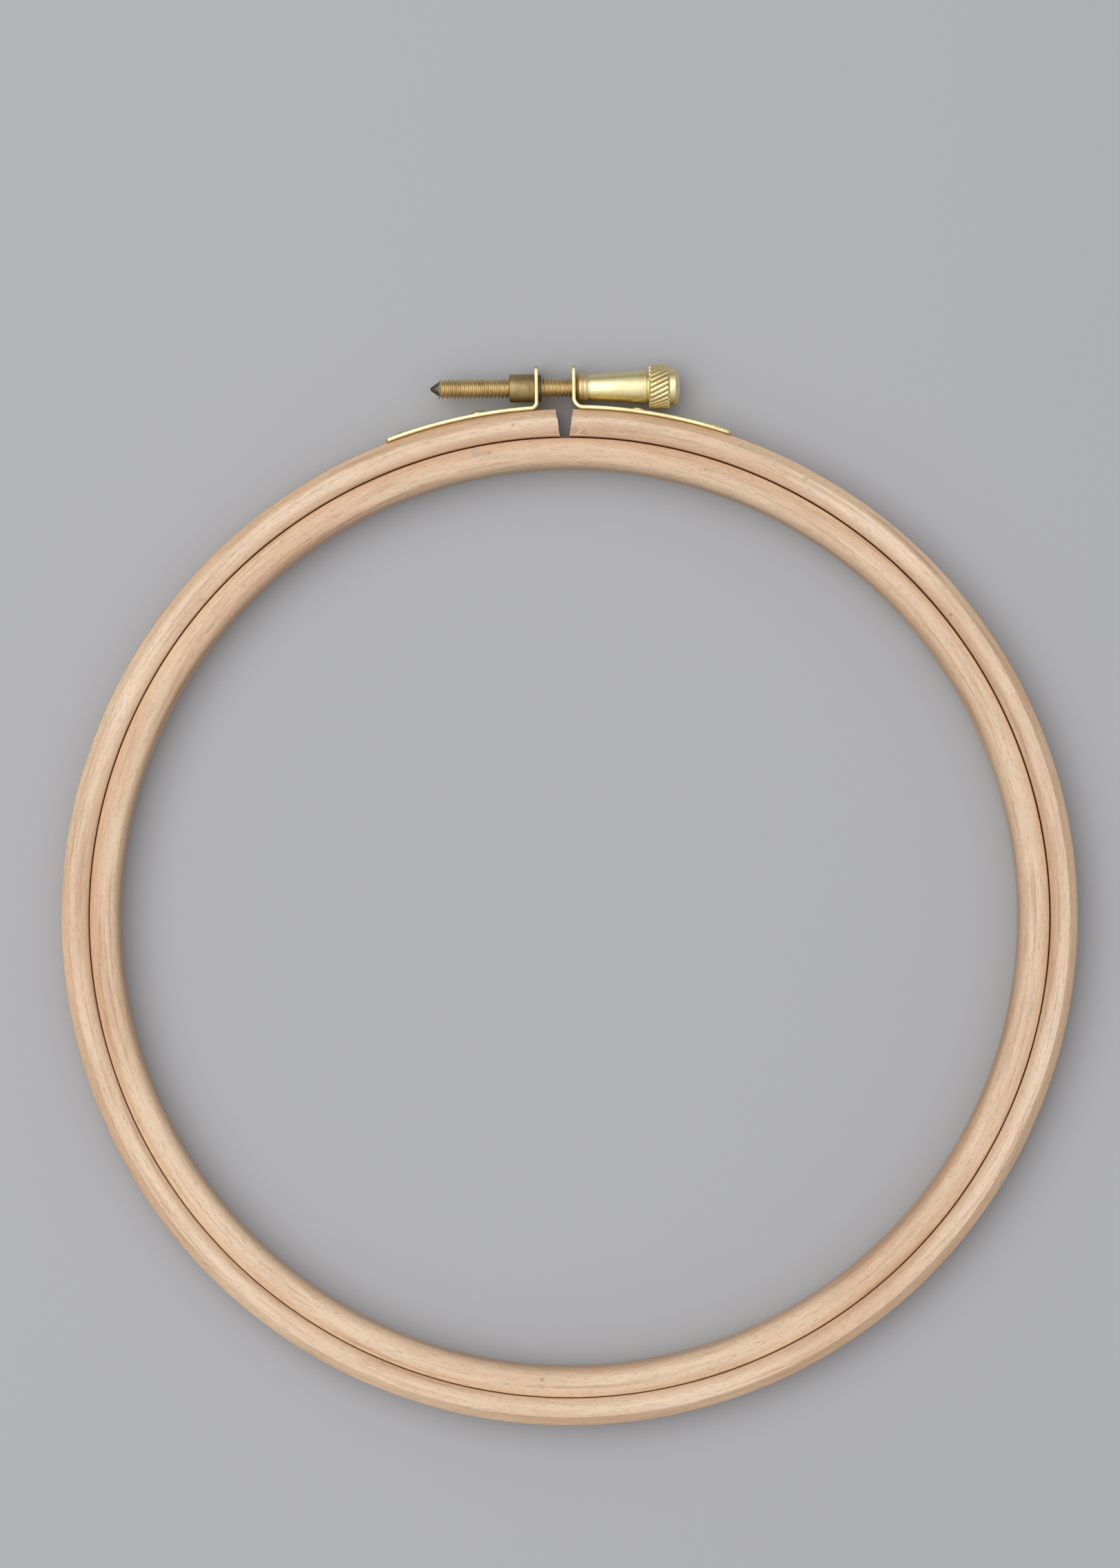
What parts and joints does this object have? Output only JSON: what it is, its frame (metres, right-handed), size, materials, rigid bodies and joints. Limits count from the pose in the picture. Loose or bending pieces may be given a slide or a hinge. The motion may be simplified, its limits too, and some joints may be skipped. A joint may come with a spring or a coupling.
{
  "type": "embroidery hoop",
  "caption": "Round wooden embroidery hoop: an inner ring drops into a split outer ring, which a brass thumbscrew with a tapered, knurled head draws closed.",
  "frame": {"origin": "centre of the hoop, on the axis of the inner ring's bore, half way up the rings", "axes": "+Z is the hoop's axis, towards the side that the picture shows; +Y points through the split to the clamp screw; +X runs along the screw, from its pointed end to its knurled head"},
  "size_m": [0.1616, 0.1687, 0.008],
  "materials": {
    "outer_wood": "bare sanded beech",
    "inner_wood": "bare sanded beech",
    "strip_brass": "bright rolled strip",
    "nail_brass": "bright domed heads",
    "nut_brass": "dull turned",
    "screw_brass": "turned, with fine rings and a knurl"
  },
  "bodies": {
    "split_ring": {"outer_ring": "outer_wood"},
    "drop_in_ring": {"inner_ring": "inner_wood"},
    "left_clamp_end": {"left_bracket": "strip_brass", "left_outer_nail": "nail_brass", "left_inner_nail": "nail_brass", "barrel_nut": "nut_brass"},
    "right_clamp_end": {"right_bracket": "strip_brass", "right_outer_nail": "nail_brass", "right_inner_nail": "nail_brass"},
    "thumbscrew": {"clamp_screw": "screw_brass"}
  },
  "joints": [
    {"name": "inner_ring_lift", "type": "slide", "parent": "split_ring", "child": "drop_in_ring", "axis": [0, 0, 1], "range_m": [0, 0.012]},
    {"name": "left_end_spread", "type": "slide", "parent": "split_ring", "child": "left_clamp_end", "axis": [-1, 0, 0], "range_m": [-0.00032, 0.0054], "deforming": ["outer_ring"]},
    {"name": "right_end_spread", "type": "slide", "parent": "split_ring", "child": "right_clamp_end", "axis": [1, 0, 0], "range_m": [-0.00032, 0.0054], "deforming": ["outer_ring"]},
    {"name": "screw_turn", "type": "hinge", "parent": "right_clamp_end", "child": "thumbscrew", "pos_m": [0, 0.08442, 0], "axis": [1, 0, 0], "range_deg": [-360, 6120]}
  ],
  "couplings": [
    {"joint": "left_end_spread", "follows": "right_end_spread", "ratio": 1},
    {"joint": "screw_turn", "follows": "right_end_spread", "rad_per_m": 19790}
  ]
}
